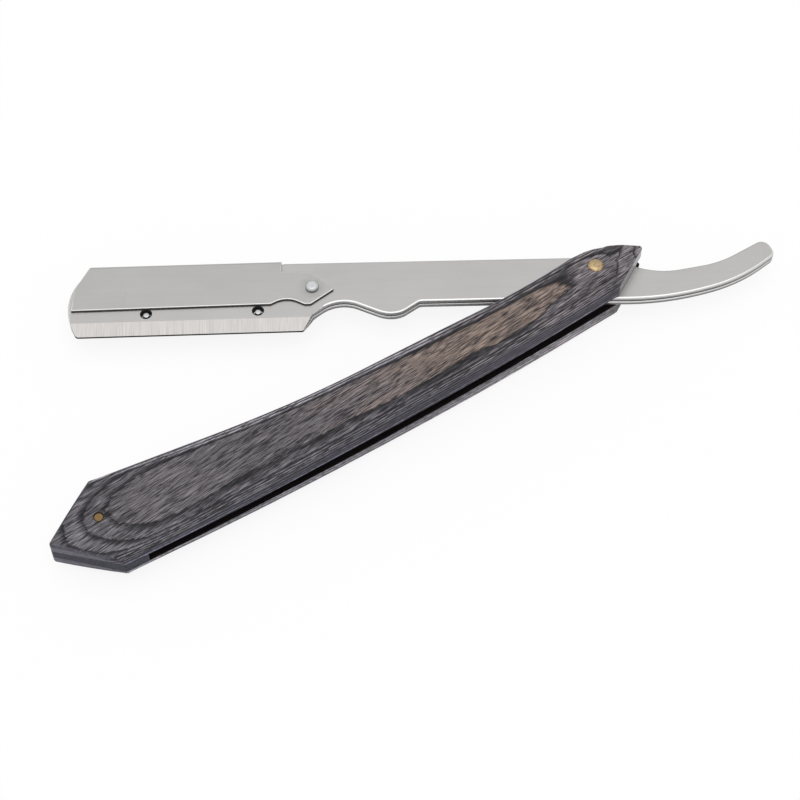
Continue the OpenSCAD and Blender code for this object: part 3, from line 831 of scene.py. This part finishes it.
class RAZOR_OT_scales(bpy.types.Operator):
    """Makes the two wooden scales of the handle, crowned and softly rounded"""

    bl_idname = "razor.scales"
    bl_label = "Scales"
    FACE, RIM, INSIDE, WALL, NOSE, BUTT = range(6)
    # Outer edges lie higher above the middle plane than this, and are sharp this near the pins
    OUTER_EDGE = 2 * MM
    PIN_REACH = 2 * MM
    # Heights of the relief for the clip and its rivet, below which walls take the inside's painted shade,
    # and half the width of the rivet's
    CLIP_RELIEF = 1.95 * MM
    RIVET_RELIEF = 2.95 * MM
    RIVET_REACH = 3 * MM
    # Points of the crowned face lie this near the true curve
    CROWN_REACH = 0.1 * MM

    def execute(self, context):
        look = context.scene.razor_wood
        inside = dark_wood("Inside Painted Shade", look.inside, 23.0, 0.02)
        for node, side, seed in (("front_scale", 1, 2.0), ("back_scale", -1, 31.0)):
            piece = copy_of(node, node + "_wood")
            finish_with(piece, *self.materials(node, look, seed, inside))
            self.sort_faces(piece, side)
            for crisp, width in ((False, look.edge), (True, look.edge / 4)):
                round_edges(
                    piece, width, 4, self.RIM,
                    lambda mid, run, beside: self.is_rim(mid, run, beside, side)
                    and self.is_nose(beside) == crisp
                )
            self.cut_up(piece, look.pitch)
            self.crown(piece, side)
            stands_for(piece, node)
        return {"FINISHED"}

    def materials(self, node, look, seed, inside):
        """Finishes of a scale in the order of their slots. Its edges get painted shade on the front scale,
        painted light on the back.
        """
        title = node.replace("_", " ").title()
        front = node == "front_scale"
        edge = dict(roughness=0.3, spread=1.9, grain=0.5)
        # Front rim and walls: darker and bluish, painted shade and reflection, with a painted highlight at
        # the wall's foot; back: painted light
        wall_painted_shade_and_light = (0.34, 0.34, 0.45) if front else (1.95, 1.95, 2.05)
        rim_painted_shade_and_light = (0.5, 0.5, 0.6) if front else wall_painted_shade_and_light
        rim_gloss, wall_gloss, lip = (0.3, 0.15, 2.3) if front else (0.8, 0.8, 0)
        return (
            laminate(title + " Laminate", look, seed, 0.42, 0.14, painted_sheen=1),
            laminate(title + " Rim", look, seed, gloss=rim_gloss, dim=rim_painted_shade_and_light, painted_sheen=0.2, **edge),
            inside,
            laminate(title + " Wall", look, seed, gloss=wall_gloss, dim=wall_painted_shade_and_light, lip=lip, **edge),
            laminate(title + " Nose", look, seed, 0.12, 1.0, grain=0.5),
            laminate(title + " Butt", look, seed, 0.3, 0.25, (0.7, 0.7, 0.8), 1.9, 0.4),
        )

    def is_rim(self, mid, run, beside, side):
        """Whether an edge runs round the outer face, away from the pins."""
        pins = ("pivot_pin", "wedge_pin", "clip_rivet")
        outside = (mid.z - MID_Z) * side > self.OUTER_EDGE and any(way.z * side > 0.5 for way in beside)
        return outside and abs(run.z) < 0.7 and not near(mid, pins, self.PIN_REACH)

    def is_nose(self, beside):
        """Whether a face beside an edge looks out of the near end, where the edges stay crisp."""
        return any(way.dot(HANDLE_RUN.normalized()) > 0.4 for way in beside)

    def sort_faces(self, piece, side):
        """Gives the walls, both ends and the inner face with its relief their finish, the inner face a
        painted shade.
        """
        swing = (PIN_AXES["clip_rivet"] - PIVOT.xy).length
        for p in piece.data.polygons:
            by_rivet = abs((p.center.xy - PIVOT.xy).length - swing) < self.RIVET_REACH
            relief = self.RIVET_RELIEF if by_rivet else self.CLIP_RELIEF
            top = max(abs(piece.data.vertices[i].co.z - MID_Z) for i in p.vertices)
            upright = abs(p.normal.z) < 0.3
            # The inner face and the relief's low walls get the inside's painted shade
            if p.normal.z * side < -0.5 or (upright and top < relief):
                p.material_index = self.INSIDE
            elif upright:
                along = p.normal.dot(HANDLE_RUN.normalized())
                p.material_index = self.NOSE if along > 0.4 else self.BUTT if along < -0.4 else self.WALL

    def cut_up(self, piece, pitch):
        """Cuts the scale across and along the handle, so that its crown can curve."""
        only(piece)
        along = Vector((math.cos(HANDLE_TURN), math.sin(HANDLE_TURN), 0))
        across = Vector((-along.y, along.x, 0))
        edit()
        for way, step in ((along, pitch * 2), (across, pitch / 2)):
            reach = [(v.co - PIVOT).dot(way) for v in piece.data.vertices]
            for k in range(math.ceil(min(reach) / step), math.floor(max(reach) / step) + 1):
                bpy.ops.mesh.select_all(action="SELECT")
                bpy.ops.mesh.bisect(plane_co=PIVOT + way * step * k, plane_no=way)
        close()

    def crown(self, piece, side):
        """Lifts the outer face from the frame's long flats to the true curve."""
        edges = (self.RIM, self.WALL, self.NOSE, self.BUTT)
        rim = {v for p in piece.data.polygons if p.material_index in edges for v in p.vertices}
        face = {v for p in piece.data.polygons if p.normal.z * side > 0.9 for v in p.vertices}
        for i in face - rim:
            point = piece.data.vertices[i].co
            spot = point - PIVOT
            spot.rotate(Euler((0, 0, -HANDLE_TURN)))
            top = crown_height(spot.x / MM, spot.y / MM) * MM
            if abs(spot.z * side - top) < self.CROWN_REACH:
                point.z = MID_Z + top * side


def crown_height(x, y):
    """Outer face of a scale above the middle plane, in millimetres."""
    arc = FULL_T - (x - FULL_X) ** 2 / (2 * LONG_R)
    if x > NOSE_X:
        start = FULL_T - (NOSE_X - FULL_X) ** 2 / (2 * LONG_R) + NOSE_LAP
        arc = min(arc, start - NOSE_R + math.sqrt(NOSE_R**2 - (x - NOSE_X) ** 2))
    off = y - RIDGE_AT_PIVOT + x * RIDGE_SLOPE
    return GAP_AT_PIVOT + x * LEAN + arc - (CROSS_R - math.sqrt(CROSS_R**2 - off**2))


class RAZOR_OT_wedge(bpy.types.Operator):
    """Makes the dark spacer between the scales"""

    bl_idname = "razor.wedge"
    bl_label = "Wedge"

    def execute(self, context):
        look = context.scene.razor_wood
        piece = copy_of("wedge_spacer", "wedge_wood")
        round_edges(piece, look.edge / 4, 2, 0, lambda mid, run, beside: True)
        finish_with(piece, dark_wood("Wedge Wood", look.wedge, 17.0, 0.15))
        stands_for(piece, "wedge_spacer")
        return {"FINISHED"}


class RAZOR_OT_handle_pins(bpy.types.Operator):
    """Makes the hammered pivot pin, the flush wedge pin and the two washers"""

    bl_idname = "razor.handle_pins"
    bl_label = "Handle pins"

    def execute(self, context):
        look = context.scene.razor_brass
        self.pivot(look)
        self.wedge_pin(look)
        washer = brass("Washer Brass", look, 0.7, 0.004, 8.0)
        for node in ("front_washer", "back_washer"):
            self.washer(node, washer)
        return {"FINISHED"}

    def pivot(self, look):
        radius, low, high = ends("pivot_pin")
        shank, head, rise = 1.2 * MM, 0.67 * MM, 0.45 * MM
        turns = [math.radians(t) for t in range(4, 91, 6)]
        dome = [(radius * math.sin(t), rise * math.cos(t)) for t in turns]
        under = [(r, low + rise - h) for r, h in dome]
        over = [(r, high - rise + h) for r, h in reversed(dome)]
        seats = [(radius, low + head), (shank, low + head), (shank, high - head), (radius, high - head)]
        piece = turned("pivot_pin_brass", PIVOT, under + seats + over, sides=72)
        self.hammer(piece, look.blow)
        finish_with(piece, brass("Hammered Brass", look, 0.4, 0.012, 3.0, brow=0.16))
        stands_for(piece, "pivot_pin", math.radians(40))

    def hammer(self, piece, depth):
        """Presses flats into both domes, one blow after the other, each turned on by the golden angle."""
        blows = 9
        golden = 2.399963
        for side in (1, -1):
            for k in range(blows):
                lean = math.radians(6 + 24 * k / blows)
                turn = k * golden + side
                out, up = math.sin(lean), math.cos(lean) * side
                way = Vector((out * math.cos(turn), out * math.sin(turn), up))
                reach = max((v.co - PIVOT).dot(way) for v in piece.data.vertices)
                face = reach - depth * (0.55 + 0.45 * (k % 3) / 2)
                for v in piece.data.vertices:
                    v.co -= way * max(0, (v.co - PIVOT).dot(way) - face)

    def wedge_pin(self, look):
        radius, low, high = ends("wedge_pin")
        cut = look.chamfer
        rings = [(radius - cut, low), (radius, low + cut), (radius, high - cut), (radius - cut, high)]
        piece = turned("wedge_pin_brass", middle("wedge_pin"), rings)
        finish_with(piece, brass("Flush Brass", look, 1.1, 0.006, 5.0, dullness=0.4))
        stands_for(piece, "wedge_pin")

    def washer(self, node, material):
        outer, low, high = ends(node)
        inner = 1.25 * MM
        rings = [(inner, low), (outer, low), (outer, high), (inner, high), (inner, low)]
        piece = turned(node + "_brass", middle(node), rings, closed=True)
        finish_with(piece, material)
        stands_for(piece, node)


class RAZOR_OT_leaves(bpy.types.Operator):
    """Makes the two steel leaves of the arm, with their ground jaws"""

    bl_idname = "razor.leaves"
    bl_label = "Leaves"
    SATIN, RIM, GROUND, CUT, WALL = range(5)
    BLADE_PINS = ("blade_pin_toe", "blade_pin_heel")
    PINS = ("pivot_pin", "clip_rivet", *BLADE_PINS)
    # What lies this near a pin belongs to its hole, and outer edges lie higher above the seam than this
    HOLE_REACH = 1.6 * MM
    OUTER_EDGE = 0.6 * MM
    # Edges this near the middle plane are at the seam, which is round down to so far below the jaws' top
    SEAM_HEIGHT = 0.1 * MM
    SEAM_REACH = 1.6 * MM
    # Below and left of this corner the outer edges stay crisp, round the jaws and their heel
    CRISP_TOP = JAW_TOP + 0.5 * MM
    CRISP_END = PIN_AXES["blade_pin_heel"].x + 12 * MM
    # The toe's upper corner from the heel's blade pin, and how near a point is drawn to it
    TOE_CORNER = Vector((-34.74, 11.56)) * MM
    TOE_REACH = 0.12 * MM

    def execute(self, context):
        look = context.scene.razor_steel
        materials = (
            metal("Satin Steel", look.satin, 0.34, 0.0, 0.004, seed=1.0),
            rim_highlight_metal("Rim Highlight Steel", look.rim, 4.0),
            metal(
                "Ground Steel", look.ground, 0.36, math.pi / 2, 0.006,
                spread=1.3, seed=6.0, wear=0.2, coarse=1.6, broad=0.15
            ),
            cut_and_shade_metal("Cut And Shade Steel", look.cut, 7.0),
            leaf_wall("Wall Shade Steel", look.wall_shade, look.cut, 8.0),
        )
        for node, side in (("front_leaf", 1), ("back_leaf", -1)):
            piece = copy_of(node, node + "_steel")
            finish_with(piece, *materials)
            self.ease_corners(piece)
            part_at(piece, self.PINS)
            round_edges(
                piece, look.leaf_edge, 6, self.RIM,
                lambda mid, run, beside: self.is_rim(mid, beside, side)
            )
            self.sort_faces(piece, side)
            # At the seam the front leaf's rounds take painted shade, and the back leaf's the rim's painted
            # highlight
            round_edges(piece, look.seam_edge, 4, self.CUT if side > 0 else self.RIM, self.is_seam)
            stands_for(piece, node, math.radians(17))
        return {"FINISHED"}

    def ease_corners(self, piece):
        """Makes the toe's upper corner crisp, and lets the jaws' heel run into the shank in one sweep."""
        pin = PIN_AXES["blade_pin_heel"]
        toe = pin + self.TOE_CORNER
        # In millimetres from the pin: the two points that the heel's tight corner becomes, and by how much,
        # about which height and within which reach of it the sweep draws the heel out
        low_point, high_point = (10.49, -1.8), (11.03, -1.04)
        sweep, sweep_at, sweep_reach = 0.45, -1.6, 2.4
        for v in piece.data.vertices:
            if (v.co.xy - toe).length < self.TOE_REACH:
                v.co.xy = toe
            right, up = (v.co.xy - pin) / MM
            if 10.4 < right < 11.1 and -1.9 < up < -1:
                right, up = low_point if up < -1.4 else high_point
            if right > 9.6 and up < 0.5:
                right += sweep * max(0, 1 - abs(up - sweep_at) / sweep_reach)
                v.co.xy = pin + Vector((right, up)) * MM
        merge_flats(piece)

    def is_rim(self, mid, beside, side):
        """Whether an edge runs round the outer face, away from the holes and the ground jaw."""
        outside = (mid.z - MID_Z) * side > self.OUTER_EDGE
        ground = any(0.9 < way.z * side < 0.99 for way in beside)
        crisp = mid.y < self.CRISP_TOP and mid.x < self.CRISP_END
        return outside and not ground and not crisp and not near(mid, self.PINS, self.HOLE_REACH)

    def is_seam(self, mid, run, beside):
        """Whether an edge runs along the seam, outside the thin ground jaws."""
        at_seam = abs(mid.z - MID_Z) < self.SEAM_HEIGHT and abs(run.z) < 0.7
        return at_seam and mid.y > JAW_TOP - self.SEAM_REACH

    def sort_faces(self, piece, side):
        """Gives walls, bores, seam faces, the ground jaw and spine rims their finish; bores and lower jaw
        edges get painted shade.
        """
        for p in piece.data.polygons:
            lean = p.normal.z * side
            upright = abs(lean) < 0.2
            bore = near(p.center, self.BLADE_PINS, self.HOLE_REACH)
            edge = p.center.y < JAW_TOP and p.normal.y < -0.8
            # Bores and the jaws' lower edges take painted shade
            if lean < -0.9 or (upright and (bore or edge)):
                p.material_index = self.CUT
            elif upright:
                p.material_index = self.WALL
            elif p.material_index == self.SATIN and 0.9 < lean < 0.99:
                p.material_index = self.GROUND
            # Rims that face back get the satin finish, so the painted highlight stays on rims facing the
            # front
            elif p.material_index == self.RIM and p.normal.y > 0.1:
                p.material_index = self.SATIN


class RAZOR_OT_clip(bpy.types.Operator):
    """Makes the folded clip that swings over the jaws"""

    bl_idname = "razor.clip"
    bl_label = "Clip"
    SATIN, RIM, CUT = range(3)
    # Height above the middle plane over which edges are outer ones
    OUTER_EDGE = 1.6 * MM

    def execute(self, context):
        look = context.scene.razor_steel
        piece = copy_of("swing_clip", "swing_clip_steel")
        finish_with(
            piece,
            metal("Clip Steel", look.clip, 0.33, 0.0, 0.004, seed=9.0, darker_round_pin="clip_rivet"),
            rim_highlight_metal("Clip Rim Highlight", look.rim, 12.0),
            cut_and_shade_metal("Clip Cut And Shade", look.cut, 13.0),
        )
        round_edges(
            piece, look.clip_edge, 4, self.RIM,
            lambda mid, run, beside: abs(mid.z - MID_Z) > self.OUTER_EDGE
        )
        # Painted shade on the clip's upright edges that face -Y, and on those that face +X at the ear's end
        for p in piece.data.polygons:
            upright = abs(p.normal.z) < 0.3
            if p.material_index == self.SATIN and upright and (p.normal.y < -0.3 or p.normal.x > 0.9):
                p.material_index = self.CUT
        stands_for(piece, "swing_clip")
        return {"FINISHED"}


class RAZOR_OT_arm_pins(bpy.types.Operator):
    """Makes the clip's rivet and the two pins that locate the blade"""

    bl_idname = "razor.arm_pins"
    bl_label = "Arm pins"
    # Round at the rivet's heads, whose edges lie higher above the middle plane than this
    HEAD_ROUND = 0.2 * MM
    HEAD_EDGE = 2 * MM
    # Rounded tip of a blade pin, as shares of its radius: how wide it is, so far below its end
    TIP = ((1, 0.3), (0.93, 0.12), (0.78, 0.02), (0.6, 0))

    def execute(self, context):
        look = context.scene.razor_steel
        bright = metal("Bright Steel", look.bright, 0.4, 0.9, 0.004, seed=14.0, wear=0.3)
        self.rivet(look, bright)
        for node in ("blade_pin_toe", "blade_pin_heel"):
            self.blade_pin(node, bright)
        return {"FINISHED"}

    def rivet(self, look, material):
        piece = copy_of("clip_rivet", "clip_rivet_steel")
        round_edges(
            piece, self.HEAD_ROUND, 4, 0, lambda mid, run, beside: abs(mid.z - MID_Z) > self.HEAD_EDGE
        )
        # The rivet's upright sides take the darker wall colour: painted shade round its head
        wall_shade = metal("Rivet Wall Shade", look.wall_shade, 0.4, 0.9, 0.003, seed=15.0, wear=0.2)
        finish_with(piece, material, wall_shade)
        for p in piece.data.polygons:
            p.material_index = 1 if abs(p.normal.z) < 0.3 else 0
        stands_for(piece, "clip_rivet")

    def blade_pin(self, node, material):
        radius, low, high = ends(node)
        tip = [(radius * wide, high - radius * drop) for wide, drop in self.TIP]
        piece = turned(node + "_steel", middle(node), [(radius, low), *tip], sides=32)
        finish_with(piece, material)
        stands_for(piece, node)


OPERATORS = [
    RAZOR_OT_stage,
    RAZOR_OT_scales,
    RAZOR_OT_wedge,
    RAZOR_OT_handle_pins,
    RAZOR_OT_leaves,
    RAZOR_OT_clip,
    RAZOR_OT_arm_pins,
]


class RAZOR_PT_panel(bpy.types.Panel):
    """Lists the pieces and their settings"""

    bl_idname = "RAZOR_PT_panel"
    bl_label = "Razor"
    bl_space_type = "VIEW_3D"
    bl_region_type = "UI"
    bl_category = "Razor"

    def draw(self, context):
        for operator in OPERATORS:
            self.layout.operator(operator.bl_idname)
        for name, group in SETTINGS.items():
            box = self.layout.box()
            for setting in group.__annotations__:
                box.prop(getattr(context.scene, name), setting)


CLASSES = [*SETTINGS.values(), *OPERATORS, RAZOR_PT_panel]
GROUPS = [brushing_group, handling_group, fibre_group, ply_group]


def register():
    for c in CLASSES:
        bpy.utils.register_class(c)
    for name, group in SETTINGS.items():
        setattr(bpy.types.Scene, name, bpy.props.PointerProperty(type=group))


def unregister():
    for name in SETTINGS:
        delattr(bpy.types.Scene, name)
    for c in reversed(CLASSES):
        bpy.utils.unregister_class(c)


def main():
    register()
    for build in GROUPS:
        build()
    for operator in OPERATORS:
        family, name = operator.bl_idname.split(".")
        getattr(getattr(bpy.ops, family), name)()


if __name__ == "__main__":
    main()
